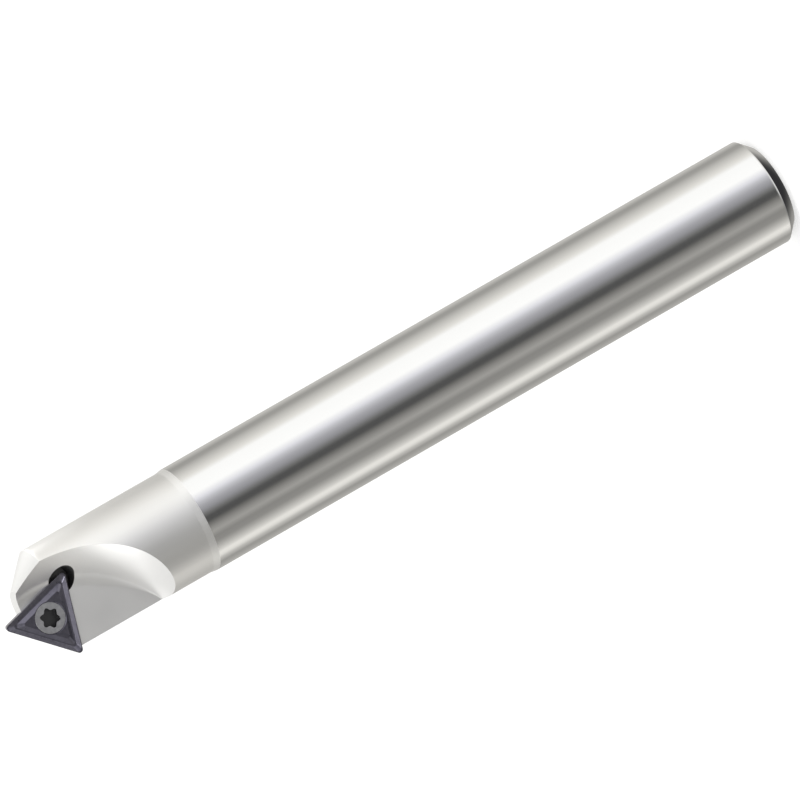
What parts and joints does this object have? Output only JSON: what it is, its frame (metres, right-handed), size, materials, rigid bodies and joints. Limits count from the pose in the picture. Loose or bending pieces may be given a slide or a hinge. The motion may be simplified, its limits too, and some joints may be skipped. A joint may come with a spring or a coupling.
{
  "type": "chamfer milling cutter",
  "caption": "Round-shank chamfer milling cutter with a 45 degree nose, a chip gullet and a screwed-on triangular carbide insert.",
  "frame": {"origin": "centre of the shank's end face", "axes": "+Z along the axis to the cutting end, +X towards the insert's outer corner, +Y out of the insert's rake face"},
  "size_m": [0.0131, 0.0126, 0.1016],
  "materials": {
    "holder": "bright ground shank, satin head",
    "insert": "dark violet-grey hard coating",
    "clamp_screw": "plain hardened steel"
  },
  "bodies": {
    "root": {"holder": "holder", "insert": "insert", "clamp_screw": "clamp_screw"}
  },
  "joints": []
}
